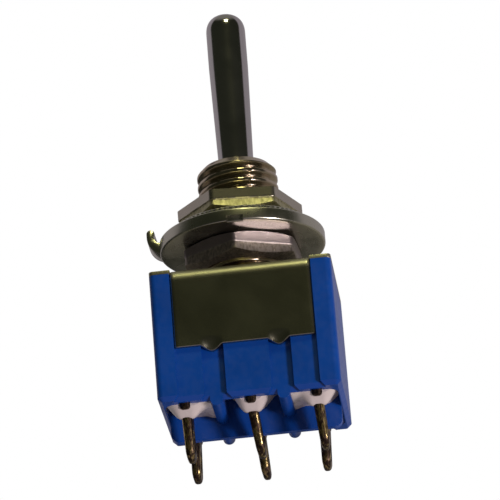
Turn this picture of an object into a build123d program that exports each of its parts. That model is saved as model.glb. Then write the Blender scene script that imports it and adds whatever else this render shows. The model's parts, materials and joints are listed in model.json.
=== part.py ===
from build123d import *
import os

os.makedirs("parts", exist_ok=True)

# Two-pole miniature toggle switch, standing on its six solder lugs.
# Millimetres.  +Z points along the lever, X runs along a row of three lugs,
# -Y is the front.  The origin is on the bushing axis, on the frame's top face.

# ---- case and frame -------------------------------------------------------
CASE_W = 13.1            # along X
CASE_D = 10.4            # along Y
CASE_CORNER_R = 0.45     # standing edges of the case
FOOT_CHAMFER = 0.3       # round the foot of the case
SHEET = 0.35             # frame sheet thickness
RIM_Z = -9.9             # foot of the case walls
LEG_W = 10.0             # width of the frame's front and rear legs
LEG_DROP = 6.0           # how far a leg reaches below the top face
LEG_SIDE_GAP = 0.08      # play between a leg and the sides of its recess
BEND_R = 0.5             # outer radius of the frame's bends
PLATE_SETBACK = 0.15     # the frame's shoulders stand back from the case face
PLATE_CORNER_R = 0.3

# ---- front and rear grooves, with the crimps that hold the case -----------
GROOVE_X = 2.4           # centre of each groove from the middle
GROOVE_W = 1.6
GROOVE_DEPTH = 0.4
CRIMP_W = 1.4
CRIMP_DROP = 0.37        # a crimp reaches this far below its leg
CRIMP_RISE = 0.4         # height on the leg where the crimp starts
CRIMP_GAP = 0.05         # crimp to the groove's floor

# ---- inside of the case ---------------------------------------------------
WALL_T = 0.65            # side walls of the case
GROOVE_WALL_T = 0.6      # wall left behind a groove
CAVITY_R = 0.5
FLOOR_Z = -7.0           # inner floor, on which the terminals' shoulders sit
FLOOR_T = 1.2
SEPARATOR_T = 0.8        # wall between the two poles
SEPARATOR_TOP = -4.2

# ---- terminal side of the case --------------------------------------------
POCKET_WALL_T = 0.38     # wall round the lugs, thinnest at the sides
POCKET_R = 0.8
RIB_W = 0.9              # ribs between neighbouring lugs, half round below
BARRIER_T = 0.5          # wall between the two rows of lugs
BARRIER_Z = -11.4
BARRIER_R = 0.6          # lower corners of that wall

# ---- terminals ------------------------------------------------------------
PITCH = 4.7              # between the lugs of a row
ROW_Y = 2.55             # centre of each row
LUG_T = 0.75
LUG_W = 1.9
LUG_TIP_Z = -13.65
LUG_TIP_R = 0.75
LUG_TIP_T = 0.45         # the tips are coined thinner
LUG_COIN_H = 0.4
EYE_W = 0.8              # wire eye in each lug
EYE_H = 1.5
EYE_Z = -12.2
SHOULDER_W = 2.5
SHOULDER_H = 0.3
PRONG_W = 0.45           # short staking prong beside each lug
PRONG_OUT_Y = 4.3
PRONG_Z = -10.3
PRONG_ARM_H = 0.5
PRONG_PLAY = 0.05        # prong to the notch in the case wall

# ---- potting --------------------------------------------------------------
POTTING_Z = -9.3         # level of the potting in the pockets' corners
MOUND_Z = -10.5          # top of the mound that climbs each lug
MOUND_FOOT_HALF_W = 1.5
MOUND_FOOT_IN_Y = -0.9
MOUND_FOOT_OUT_Y = 4.45
MOUND_TOP_HALF_W = 0.52
MOUND_TOP_IN_Y = 1.45
MOUND_TOP_OUT_Y = 3.7

# ---- bushing --------------------------------------------------------------
BUSHING_R = 2.95
BUSHING_TOP = 9.3
BUSHING_CHAMFER = 0.5
RELIEF_R = 2.7           # plain neck under the thread
RELIEF_H = 0.7
SHANK_R = 2.65           # stretch staked through the frame
STAKE_R = 3.1
STAKE_H = 0.3
BORE_R = 2.2
MOUTH_R = 2.35           # flare round the lever
THROAT_R = 1.75
KEYWAY_W = 1.0
KEYWAY_DEPTH = 0.4
KEYWAY_FOOT = 0.9        # the keyway stops above this height

# ---- mounting hardware on the bushing -------------------------------------
NUT_FLATS = 8.0
LOWER_NUT_T = 1.8
UPPER_NUT_T = 1.5
NUT_BEVEL_R = 3.75       # flat ring left on a bevelled face
NUT_BEVEL_SLOPE = 0.4
NUT_TURN_UPPER = 8.0     # degrees, facet normal from the front towards +X
NUT_TURN_LOWER = 25.9
THREAD_GAP = 0.02        # nut bore to the bushing's outside
RING_R = 6.05
RING_EDGE = 0.15         # bevel round the ring's lower edge
RING_T = 0.95
RING_BORE_GAP = 0.1
RING_Z = 2.88            # underside of the locating ring
KEY_GAP = 0.08           # tongue to keyway
TAB_W = 1.8
TAB_TIP_Z = 4.9
TAB_TIP_T = 0.5
TAB_REACH = 0.85         # tab's outside beyond the ring's rim
TAB_BEND_R = 1.4
NOTCH_W = 1.2            # shallow notch in the ring's front edge
NOTCH_H = 0.4
NOTCH_DEPTH = 0.25
WASHER_R = 5.3
WASHER_T = 0.85          # over its bent teeth
WASHER_SHEET = 0.5
WASHER_TEETH = 8
WASHER_TOOTH_ROOT_R = 4.1
WASHER_BORE_R = 3.15
WASHER_SLOT_DEG = 12.0

# ---- lever ----------------------------------------------------------------
PIVOT_Z = 5.0
BALL_R = 2.12
BALL_BASE = 1.3          # the ball's flat underside, below the pivot
LEVER_ROOT_R = 1.275     # at the bushing's mouth
LEVER_HEAD_R = 1.45      # at the head
LEVER_HEAD_H = 2.8       # straight stretch under the domed end
LEVER_TOP = 21.7
ARM_R = 0.8              # stretch below the ball
ARM_END_Z = -3.2

# ---- actuator, plungers and springs ---------------------------------------
ACTUATOR_TOP = -1.3
ACTUATOR_FOOT = -3.7
ACTUATOR_HUB_R = 1.6
ACTUATOR_BARREL_R = 1.15
PLUNGER_R = 0.8
PLUNGER_GAP = 0.05
PLUNGER_TIP_Z = -5.2
PLUNGER_TIP_R = 0.5
PLUNGER_TOP_Z = -2.6
PLUNGER_CUP_R = 0.6
PLUNGER_CUP_FLOOR_Z = -4.4
PLUNGER_SHOULDER_Z = -4.65
SPRING_SEAT_Z = -1.7     # closed end of the actuator's bores
SPRING_COIL_R = 0.42
SPRING_WIRE_R = 0.075
SPRING_TURNS = 5
SPRING_STEPS = 8        # straight runs to a turn

# ---- rocking contacts -----------------------------------------------------
ROCKER_T = 0.3
ROCKER_W = 1.8
ROCKER_RATIO = 0.6       # rocker's turn for one unit of the lever's
ROCKER_DISH_HALF_W = 2.4
ROCKER_KNEE_HALF_W = 2.75
ROCKER_PAD_IN = 3.7
ROCKER_PAD_OUT = 4.95
ROCKER_PAD_Z = -5.85     # underside of the contact pads at rest
ROCKER_PLUNGER_GAP = 0.03
FULCRUM_GAP = 0.03
YOKE_W = 2.6
YOKE_TOP = -5.1
YOKE_GAP = 0.1           # rocker to the yoke's ears
SADDLE_EDGE_R = 0.3      # rounded edges on which a rocker tips
CONTACT_TOP = -6.49
CONTACT_W = 1.4

# ---- sizes that follow from the ones above --------------------------------
CASE_TOP = -SHEET
BEND_INNER_R = BEND_R - SHEET
HALF_W = CASE_W / 2
HALF_D = CASE_D / 2
RECESS_Y = HALF_D - SHEET
GROOVE_Y = RECESS_Y - GROOVE_DEPTH
CAVITY_HALF_W = HALF_W - WALL_T
CAVITY_HALF_D = GROOVE_Y - GROOVE_WALL_T
POCKET_HALF_W = HALF_W - POCKET_WALL_T
POCKET_HALF_D = GROOVE_Y - POCKET_WALL_T
POCKET_TOP = FLOOR_Z - FLOOR_T
LUG_IN_Y = ROW_Y - LUG_W / 2
LUG_OUT_Y = ROW_Y + LUG_W / 2
SHOULDER_TOP = FLOOR_Z + SHOULDER_H
ROCKER_TOP = PLUNGER_TIP_Z - ROCKER_PLUNGER_GAP
SADDLE_TOP = ROCKER_TOP - ROCKER_T - FULCRUM_GAP

# The plunger's tip swings about the lever's pivot while the rocker turns back
# by ROCKER_RATIO about its saddle.  Seen from the rocker, the centre of the tip
# runs on an arc, and this dish keeps the gap below the tip at every angle.
TIP_ARM = PIVOT_Z - PLUNGER_TIP_Z - PLUNGER_TIP_R
TIP_RISE = PLUNGER_TIP_Z + PLUNGER_TIP_R - SADDLE_TOP
TIP_PATH_R = (TIP_ARM - ROCKER_RATIO * TIP_RISE) ** 2 / (
    TIP_ARM * (1 + 2 * ROCKER_RATIO) - ROCKER_RATIO**2 * TIP_RISE
)
ROCKER_DISH_R = TIP_PATH_R + PLUNGER_TIP_R

LOWER_NUT_Z = RING_Z - LOWER_NUT_T
WASHER_Z = RING_Z + RING_T
UPPER_NUT_Z = WASHER_Z + WASHER_T
TAB_OUT_X = RING_R + TAB_REACH
SEAT_SUM = BORE_R * 2**0.5       # a 45 degree seat that clears the ball as the bore does
SEAT_Z = PIVOT_Z + SEAT_SUM - BORE_R
THROAT_Z = PIVOT_Z + SEAT_SUM - THROAT_R
ROWS = {"front": -1, "rear": 1}
COLUMNS = {"left": -1, "common": 0, "right": 1}
POOLS = {
    -1: (-POCKET_HALF_W, -GROOVE_X - RIB_W / 2),
    0: (-GROOVE_X + RIB_W / 2, GROOVE_X - RIB_W / 2),
    1: (GROOVE_X + RIB_W / 2, POCKET_HALF_W),
}


def finish(piece, name):
    """Label one finished sub-part and write it out."""
    piece.part.label = name
    export_step(piece.part, f"parts/{name}.step")


def box_between(x0, x1, y0, y1, z0, z1, mode=Mode.ADD):
    """A block given by its limits, inside the current part."""
    with Locations(((x0 + x1) / 2, (y0 + y1) / 2, (z0 + z1) / 2)):
        Box(abs(x1 - x0), abs(y1 - y0), abs(z1 - z0), mode=mode)


def rect_between(u0, u1, v0, v1, mode=Mode.ADD):
    """A rectangle given by its limits, inside the current sketch."""
    with Locations(((u0 + u1) / 2, (v0 + v1) / 2)):
        Rectangle(abs(u1 - u0), abs(v1 - v0), mode=mode)


# ---- case: one moulding, open above, with lug pockets below ---------------
def case_outline():
    """Plan of the case: corners, leg recesses and crimp grooves."""
    with BuildSketch(Plane.XY.offset(RIM_Z)) as plan:
        RectangleRounded(CASE_W, CASE_D, CASE_CORNER_R)
        for side in ROWS.values():
            with Locations((0, side * (RECESS_Y + SHEET / 2))):
                Rectangle(LEG_W + 2 * LEG_SIDE_GAP, SHEET, mode=Mode.SUBTRACT)
            for x in (-GROOVE_X, GROOVE_X):
                with Locations((x, side * (GROOVE_Y + GROOVE_DEPTH / 2))):
                    Rectangle(GROOVE_W, GROOVE_DEPTH, mode=Mode.SUBTRACT)
    return plan


def pocket_plan(z):
    """The potting well under the case, before its ribs and barrier."""
    with BuildSketch(Plane.XY.offset(z)) as plan:
        RectangleRounded(2 * POCKET_HALF_W, 2 * POCKET_HALF_D, POCKET_R)
    return plan


outline = case_outline()
well = pocket_plan(RIM_Z)
with BuildPart() as housing:
    add(outline.sketch)
    extrude(amount=CASE_TOP - RIM_Z)
    foot_edges = housing.faces().sort_by(Axis.Z)[0].outer_wire().edges()
    chamfer(foot_edges, FOOT_CHAMFER)
    for side in ROWS.values():
        with BuildSketch(Plane.YZ.offset(-LEG_W / 2 - LEG_SIDE_GAP)):
            with BuildLine():
                Polyline(
                    (side * RECESS_Y, CASE_TOP),
                    (side * RECESS_Y, CASE_TOP - BEND_INNER_R),
                    (side * (RECESS_Y - BEND_INNER_R), CASE_TOP),
                    close=True,
                )
            make_face()
        extrude(amount=LEG_W + 2 * LEG_SIDE_GAP, mode=Mode.SUBTRACT)
    with BuildSketch(Plane.XY.offset(FLOOR_Z)):
        RectangleRounded(2 * CAVITY_HALF_W, 2 * CAVITY_HALF_D, CAVITY_R)
    extrude(amount=CASE_TOP - FLOOR_Z, mode=Mode.SUBTRACT)
    add(well.sketch)
    extrude(amount=POCKET_TOP - RIM_Z, mode=Mode.SUBTRACT)
    for x in (-GROOVE_X, GROOVE_X):
        with BuildSketch(Plane.XZ.offset(-GROOVE_Y)):
            rect_between(x - RIB_W / 2, x + RIB_W / 2, RIM_Z, POCKET_TOP)
            with Locations((x, RIM_Z)):
                Circle(RIB_W / 2)
        extrude(amount=2 * GROOVE_Y)
    with BuildSketch(Plane.XZ.offset(-BARRIER_T / 2)) as barrier_face:
        rect_between(-POCKET_HALF_W, POCKET_HALF_W, BARRIER_Z, POCKET_TOP)
        fillet(barrier_face.vertices().group_by(Axis.Y)[0], BARRIER_R)
    extrude(amount=BARRIER_T)
    box_between(-CAVITY_HALF_W, CAVITY_HALF_W, -SEPARATOR_T / 2, SEPARATOR_T / 2, FLOOR_Z, SEPARATOR_TOP)
    for side in ROWS.values():
        for column in COLUMNS.values():
            x = column * PITCH
            box_between(
                x - LUG_T / 2, x + LUG_T / 2,
                side * LUG_IN_Y, side * LUG_OUT_Y,
                POCKET_TOP, FLOOR_Z, mode=Mode.SUBTRACT,
            )
            box_between(
                x - LUG_T / 2 - PRONG_PLAY, x + LUG_T / 2 + PRONG_PLAY,
                side * (POCKET_HALF_D - PRONG_W), side * (PRONG_OUT_Y + PRONG_PLAY),
                RIM_Z, POCKET_TOP, mode=Mode.SUBTRACT,
            )
finish(housing, "housing")

# ---- frame: folded sheet, crimped into the case's grooves -----------------
with BuildPart() as frame:
    with BuildSketch(Plane.XY.offset(-SHEET)):
        RectangleRounded(CASE_W, CASE_D - 2 * PLATE_SETBACK, PLATE_CORNER_R)
    extrude(amount=SHEET)
    with BuildSketch(Plane.YZ.offset(-LEG_W / 2)):
        with BuildSketch(mode=Mode.PRIVATE) as outside:
            rect_between(-HALF_D, HALF_D, -LEG_DROP, 0)
            fillet(outside.vertices().group_by(Axis.Y)[-1], BEND_R)
        with BuildSketch(mode=Mode.PRIVATE) as inside:
            rect_between(-RECESS_Y, RECESS_Y, -LEG_DROP, -SHEET)
            fillet(inside.vertices().group_by(Axis.Y)[-1], BEND_INNER_R)
        add(outside.sketch)
        add(inside.sketch, mode=Mode.SUBTRACT)
    extrude(amount=LEG_W)
    for side in ROWS.values():
        for x in (-GROOVE_X, GROOVE_X):
            with BuildSketch(Plane.YZ.offset(x - CRIMP_W / 2)):
                with BuildLine():
                    Polyline(
                        (side * HALF_D, CRIMP_RISE - LEG_DROP),
                        (side * HALF_D, -LEG_DROP),
                        (side * RECESS_Y, -LEG_DROP - CRIMP_DROP),
                        (side * (GROOVE_Y + CRIMP_GAP), -LEG_DROP - CRIMP_DROP / 2),
                        (side * (GROOVE_Y + CRIMP_GAP), -LEG_DROP + CRIMP_DROP / 2),
                        (side * RECESS_Y, CRIMP_RISE - LEG_DROP),
                        close=True,
                    )
                make_face()
            extrude(amount=CRIMP_W)
    with Locations((0, 0, -SHEET / 2)):
        Cylinder(SHANK_R, SHEET, mode=Mode.SUBTRACT)
finish(frame, "frame")

# ---- bushing: turned, threaded outside, with the lever's ball seat inside -
with BuildPart() as bushing:
    with BuildSketch(Plane.XZ):
        with BuildLine():
            Polyline(
                (BORE_R, SEAT_Z),
                (BORE_R, -SHEET - STAKE_H),
                (STAKE_R, -SHEET - STAKE_H),
                (STAKE_R, -SHEET),
                (SHANK_R, -SHEET),
                (SHANK_R, 0),
                (RELIEF_R, 0),
                (RELIEF_R, RELIEF_H),
                (BUSHING_R, RELIEF_H + BUSHING_R - RELIEF_R),
                (BUSHING_R, BUSHING_TOP - BUSHING_CHAMFER),
                (BUSHING_R - BUSHING_CHAMFER, BUSHING_TOP),
                (MOUTH_R, BUSHING_TOP),
                (THROAT_R, THROAT_Z),
                close=True,
            )
        make_face()
    revolve(axis=Axis.Z)
    box_between(
        -KEYWAY_W / 2, KEYWAY_W / 2, BUSHING_R - KEYWAY_DEPTH, BUSHING_R + KEYWAY_DEPTH,
        KEYWAY_FOOT, BUSHING_TOP, mode=Mode.SUBTRACT,
    )
finish(bushing, "bushing")


# ---- nuts, washer and locating ring ---------------------------------------
def hex_nut(z, thickness, turn, bevel_top):
    """A hexagon nut standing on height z, bevelled below and, if asked, on top."""
    corner_r = NUT_FLATS / 3**0.5
    bevel = (corner_r - NUT_BEVEL_R) * NUT_BEVEL_SLOPE
    with BuildPart() as nut:
        with BuildSketch(Plane.XY.offset(z)):
            RegularPolygon(NUT_FLATS / 2, 6, major_radius=False, rotation=turn)
            Circle(BUSHING_R + THREAD_GAP, mode=Mode.SUBTRACT)
        extrude(amount=thickness)
        with BuildSketch(Plane.XZ):
            with BuildLine():
                Polyline((0, z + thickness), (0, z), (NUT_BEVEL_R, z), (corner_r, z + bevel))
                if bevel_top:
                    Polyline(
                        (corner_r, z + bevel),
                        (corner_r, z + thickness - bevel),
                        (NUT_BEVEL_R, z + thickness),
                        (0, z + thickness),
                    )
                else:
                    Polyline((corner_r, z + bevel), (corner_r, z + thickness), (0, z + thickness))
            make_face()
        revolve(axis=Axis.Z, mode=Mode.INTERSECT)
    return nut


finish(hex_nut(LOWER_NUT_Z, LOWER_NUT_T, NUT_TURN_LOWER, True), "lower_nut")
finish(hex_nut(UPPER_NUT_Z, UPPER_NUT_T, NUT_TURN_UPPER, False), "upper_nut")

with BuildPart() as locating_ring:
    with BuildSketch(Plane.XY.offset(RING_Z)):
        Circle(RING_R)
        Circle(BUSHING_R + RING_BORE_GAP, mode=Mode.SUBTRACT)
        rect_between(
            -KEYWAY_W / 2 + KEY_GAP, KEYWAY_W / 2 - KEY_GAP,
            BUSHING_R - KEYWAY_DEPTH + KEY_GAP, BUSHING_R + 2 * RING_BORE_GAP,
        )
    extrude(amount=RING_T)
    lower_edge = locating_ring.faces().sort_by(Axis.Z)[0].outer_wire().edges()
    chamfer(lower_edge, RING_EDGE)
    with BuildSketch(Plane.XZ.offset(-TAB_W / 2)) as tab:
        with BuildLine():
            Polyline(
                (-RING_R + RING_T, RING_Z),
                (-TAB_OUT_X, RING_Z),
                (-TAB_OUT_X, TAB_TIP_Z),
                (-TAB_OUT_X + TAB_TIP_T, TAB_TIP_Z),
                (-RING_R, RING_Z + RING_T),
                (-RING_R + RING_T, RING_Z + RING_T),
                close=True,
            )
        make_face()
        fillet(tab.vertices().sort_by_distance((-TAB_OUT_X, RING_Z))[0], TAB_BEND_R)
        fillet(tab.vertices().group_by(Axis.Y)[-1], TAB_TIP_T * 0.4)
    extrude(amount=TAB_W)
    box_between(
        -NOTCH_W / 2, NOTCH_W / 2, -RING_R, -RING_R + NOTCH_DEPTH,
        RING_Z, RING_Z + NOTCH_H, mode=Mode.SUBTRACT,
    )
finish(locating_ring, "locating_ring")

with BuildPart() as lock_washer:
    with BuildSketch(Plane.XY.offset(WASHER_Z)):
        Circle(WASHER_R)
        Circle(WASHER_TOOTH_ROOT_R, mode=Mode.SUBTRACT)
    extrude(amount=WASHER_SHEET)
    tooth_deg = 360 / WASHER_TEETH - WASHER_SLOT_DEG
    with BuildSketch(Plane.XY.offset(WASHER_Z)) as tooth_plan:
        with PolarLocations(0, WASHER_TEETH):
            with BuildLine():
                inner = CenterArc((0, 0), WASHER_BORE_R, 0, tooth_deg)
                outer = CenterArc((0, 0), WASHER_TOOTH_ROOT_R, 0, tooth_deg)
                Line(inner @ 0, outer @ 0)
                Line(inner @ 1, outer @ 1)
            make_face()
    extrude(amount=WASHER_T)
finish(lock_washer, "lock_washer")

# ---- lever: bat handle, ball and lower arm turned in one piece ------------
with BuildPart() as toggle_lever:
    base_z = PIVOT_Z - BALL_BASE
    base_r = (BALL_R**2 - BALL_BASE**2) ** 0.5
    neck_z = PIVOT_Z + (BALL_R**2 - LEVER_ROOT_R**2) ** 0.5
    head_z = LEVER_TOP - LEVER_HEAD_R
    with BuildSketch(Plane.XZ):
        with BuildLine():
            Polyline((0, LEVER_TOP), (0, ARM_END_Z), (ARM_R, ARM_END_Z), (ARM_R, base_z), (base_r, base_z))
            ThreePointArc((base_r, base_z), (BALL_R, PIVOT_Z), (LEVER_ROOT_R, neck_z))
            Polyline(
                (LEVER_ROOT_R, neck_z),
                (LEVER_ROOT_R, BUSHING_TOP),
                (LEVER_HEAD_R, head_z - LEVER_HEAD_H),
                (LEVER_HEAD_R, head_z),
            )
            RadiusArc((LEVER_HEAD_R, head_z), (0, LEVER_TOP), -LEVER_HEAD_R)
        make_face()
    revolve(axis=Axis.Z)
finish(toggle_lever, "toggle_lever")

# ---- actuator: moulded carrier with one spring bore for each pole ---------
with BuildPart() as actuator:
    with BuildSketch(Plane.XY.offset(ACTUATOR_FOOT)):
        SlotCenterToCenter(2 * ROW_Y, 2 * ACTUATOR_BARREL_R, rotation=90)
        Circle(ACTUATOR_HUB_R)
    extrude(amount=ACTUATOR_TOP - ACTUATOR_FOOT)
    with BuildSketch(Plane.XY.offset(ACTUATOR_FOOT)):
        with Locations((0, -ROW_Y), (0, ROW_Y)):
            Circle(PLUNGER_R + PLUNGER_GAP)
    extrude(amount=SPRING_SEAT_Z - ACTUATOR_FOOT, mode=Mode.SUBTRACT)
    with BuildSketch(Plane.XY.offset(ARM_END_Z)):
        Circle(ARM_R)
    extrude(amount=ACTUATOR_TOP - ARM_END_Z, mode=Mode.SUBTRACT)
finish(actuator, "actuator")


# ---- plungers and springs, one of each to a pole --------------------------
def spring_plunger(y):
    """A cup with a rounded tip that presses on the rocker."""
    axis = Axis((0, y, 0), (0, 0, 1))
    tip_centre_z = PLUNGER_TIP_Z + PLUNGER_TIP_R
    with BuildPart() as plunger:
        with BuildSketch(Plane.XZ.offset(-y)):
            with BuildLine():
                RadiusArc((0, PLUNGER_TIP_Z), (PLUNGER_TIP_R, tip_centre_z), -PLUNGER_TIP_R)
                Polyline(
                    (PLUNGER_TIP_R, tip_centre_z),
                    (PLUNGER_R, PLUNGER_SHOULDER_Z + PLUNGER_R - PLUNGER_TIP_R),
                    (PLUNGER_R, PLUNGER_TOP_Z),
                    (PLUNGER_CUP_R, PLUNGER_TOP_Z),
                    (PLUNGER_CUP_R, PLUNGER_CUP_FLOOR_Z),
                    (0, PLUNGER_CUP_FLOOR_Z),
                    (0, PLUNGER_TIP_Z),
                )
            make_face()
        revolve(axis=axis)
    return plunger


def coil_spring(y):
    """A compression spring between the plunger's cup and the actuator."""
    foot = PLUNGER_CUP_FLOOR_Z + SPRING_WIRE_R
    height = SPRING_SEAT_Z - PLUNGER_CUP_FLOOR_Z - 2 * SPRING_WIRE_R
    steps = SPRING_TURNS * SPRING_STEPS
    with BuildPart() as spring:
        with BuildLine() as route:
            coil = Helix(height / SPRING_TURNS, height, SPRING_COIL_R, center=(0, y, foot), mode=Mode.PRIVATE)
            Polyline(*[coil @ (step / steps) for step in range(steps + 1)])
        with BuildSketch(Plane(route.line @ 0, z_dir=route.line % 0)):
            RegularPolygon(SPRING_WIRE_R, 6)
        sweep(transition=Transition.RIGHT)
    return spring


for row, side in ROWS.items():
    finish(spring_plunger(side * ROW_Y), f"plunger_{row}")
    finish(coil_spring(side * ROW_Y), f"spring_{row}")


# ---- rockers: dished strips that tip onto one outer contact or the other --
def rocker(y):
    """The moving contact of one pole, folded from strip."""
    rise = ROCKER_DISH_R - (ROCKER_DISH_R**2 - ROCKER_DISH_HALF_W**2) ** 0.5
    knee_z = ROCKER_TOP + rise
    pad_top = ROCKER_PAD_Z + ROCKER_T
    with BuildPart() as strip:
        with BuildSketch(Plane.XZ.offset(-y - ROCKER_W / 2)):
            with BuildLine():
                top = RadiusArc((-ROCKER_DISH_HALF_W, knee_z), (ROCKER_DISH_HALF_W, knee_z), -ROCKER_DISH_R)
                for way in (-1, 1):
                    Polyline(
                        (way * ROCKER_DISH_HALF_W, knee_z),
                        (way * ROCKER_KNEE_HALF_W, knee_z),
                        (way * ROCKER_PAD_IN, pad_top),
                        (way * ROCKER_PAD_OUT, pad_top),
                        (way * ROCKER_PAD_OUT, ROCKER_PAD_Z),
                        (way * (ROCKER_PAD_IN - ROCKER_T / 2), ROCKER_PAD_Z),
                        (way * (ROCKER_KNEE_HALF_W - ROCKER_T / 2), knee_z - ROCKER_T),
                        (way * ROCKER_DISH_HALF_W, knee_z - ROCKER_T),
                    )
                RadiusArc(
                    (-ROCKER_DISH_HALF_W, knee_z - ROCKER_T),
                    (ROCKER_DISH_HALF_W, knee_z - ROCKER_T),
                    -ROCKER_DISH_R,
                )
            make_face()
        extrude(amount=ROCKER_W)
    return strip


for row, side in ROWS.items():
    finish(rocker(side * ROW_Y), f"rocker_{row}")


# ---- terminals: stamped plates, each with its lug, prong and head ---------
def terminal(column, side):
    """One stamped terminal, standing in the plane across the row."""
    x = column * PITCH
    common = column == 0
    with BuildPart() as plate:
        with BuildSketch(Plane.YZ.offset(x - LUG_T / 2)) as face:
            rect_between(side * LUG_IN_Y, side * LUG_OUT_Y, LUG_TIP_Z, SHOULDER_TOP)
            fillet(face.vertices().group_by(Axis.Y)[0], LUG_TIP_R)
            rect_between(
                side * (ROW_Y - SHOULDER_W / 2), side * (ROW_Y + SHOULDER_W / 2), FLOOR_Z, SHOULDER_TOP,
            )
            prong_top = POCKET_TOP - PRONG_PLAY
            rect_between(side * LUG_OUT_Y, side * PRONG_OUT_Y, prong_top - PRONG_ARM_H, prong_top)
            rect_between(side * (PRONG_OUT_Y - PRONG_W), side * PRONG_OUT_Y, PRONG_Z, prong_top)
            with Locations((side * ROW_Y, EYE_Z)):
                SlotOverall(EYE_H, EYE_W, rotation=90, mode=Mode.SUBTRACT)
            if common:
                rect_between(side * (ROW_Y - YOKE_W / 2), side * (ROW_Y + YOKE_W / 2), SHOULDER_TOP, YOKE_TOP)
                saddle_half = ROCKER_W / 2 + YOKE_GAP
                rect_between(
                    side * (ROW_Y - saddle_half), side * (ROW_Y + saddle_half),
                    SADDLE_TOP, YOKE_TOP, mode=Mode.SUBTRACT,
                )
        extrude(amount=LUG_T)
        with BuildSketch(Plane.XZ.offset(-side * ROW_Y - YOKE_W)):
            with BuildLine():
                Polyline(
                    (x - LUG_T / 2, YOKE_TOP),
                    (x - LUG_T / 2, LUG_TIP_Z + LUG_COIN_H),
                    (x - LUG_TIP_T / 2, LUG_TIP_Z),
                    (x + LUG_TIP_T / 2, LUG_TIP_Z),
                    (x + LUG_T / 2, LUG_TIP_Z + LUG_COIN_H),
                    (x + LUG_T / 2, YOKE_TOP),
                    close=True,
                )
            make_face()
        extrude(amount=2 * YOKE_W, mode=Mode.INTERSECT)
        if common:
            near = (SADDLE_TOP - SADDLE_EDGE_R, SADDLE_TOP + SADDLE_EDGE_R)
            saddle = plate.faces().filter_by(Axis.Z).filter_by_position(Axis.Z, *near)
            fillet(saddle.edges().filter_by(Axis.Y), SADDLE_EDGE_R)
    return plate


def contact(column, side):
    """The silver facing on the head of an outer terminal."""
    x = column * PITCH
    crown = CONTACT_TOP - SHOULDER_TOP
    with BuildPart() as facing:
        with BuildSketch(Plane.XZ.offset(-side * ROW_Y - CONTACT_W / 2)):
            with BuildLine():
                ThreePointArc(
                    (x - LUG_T / 2, SHOULDER_TOP + crown / 2), (x, CONTACT_TOP), (x + LUG_T / 2, SHOULDER_TOP + crown / 2),
                )
                Polyline(
                    (x + LUG_T / 2, SHOULDER_TOP + crown / 2),
                    (x + LUG_T / 2, SHOULDER_TOP),
                    (x - LUG_T / 2, SHOULDER_TOP),
                    (x - LUG_T / 2, SHOULDER_TOP + crown / 2),
                )
            make_face()
        extrude(amount=CONTACT_W)
    return facing


plates = {}
for row, side in ROWS.items():
    for name, column in COLUMNS.items():
        plates[row, name] = terminal(column, side)
        finish(plates[row, name], f"terminal_{row}_{name}")
        if column:
            finish(contact(column, side), f"contact_{row}_{name}")


# ---- potting: fills the well round the lugs and climbs each one -----------
def mound(x, side):
    """Where the potting climbs one lug."""
    with BuildPart() as climb:
        with BuildSketch(Plane.XZ):
            with BuildLine():
                Polyline(
                    (x - MOUND_FOOT_HALF_W, POTTING_Z),
                    (x - MOUND_TOP_HALF_W, MOUND_Z),
                    (x + MOUND_TOP_HALF_W, MOUND_Z),
                    (x + MOUND_FOOT_HALF_W, POTTING_Z),
                    close=True,
                )
            make_face()
        extrude(amount=MOUND_FOOT_OUT_Y, both=True)
        with BuildSketch(Plane.YZ.offset(x - MOUND_FOOT_HALF_W)):
            with BuildLine():
                Polyline(
                    (side * MOUND_FOOT_IN_Y, POTTING_Z),
                    (side * MOUND_TOP_IN_Y, MOUND_Z),
                    (side * MOUND_TOP_OUT_Y, MOUND_Z),
                    (side * MOUND_FOOT_OUT_Y, POTTING_Z),
                    close=True,
                )
            make_face()
        extrude(amount=2 * MOUND_FOOT_HALF_W, mode=Mode.INTERSECT)
    return climb


def potting(column, side, plate):
    """The pool of potting round one lug, between the ribs, barrier and walls."""
    x_low, x_high = POOLS[column]
    y_in = side * BARRIER_T / 2
    y_out = side * POCKET_HALF_D
    climb = mound(column * PITCH, side)
    limit = pocket_plan(MOUND_Z)
    with BuildPart() as pool:
        box_between(x_low, x_high, y_in, y_out, POTTING_Z, POCKET_TOP)
        add(climb.part)
        box_between(x_low, x_high, y_in, y_out, MOUND_Z, POCKET_TOP, mode=Mode.INTERSECT)
        add(limit.sketch)
        extrude(amount=POCKET_TOP - MOUND_Z, mode=Mode.INTERSECT)
        add(plate.part, mode=Mode.SUBTRACT)
    return pool


for row, side in ROWS.items():
    for name, column in COLUMNS.items():
        finish(potting(column, side, plates[row, name]), f"potting_{row}_{name}")
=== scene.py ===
import json
import math

import bmesh
import bpy
from mathutils import Matrix, Vector, noise as value_noise


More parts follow.
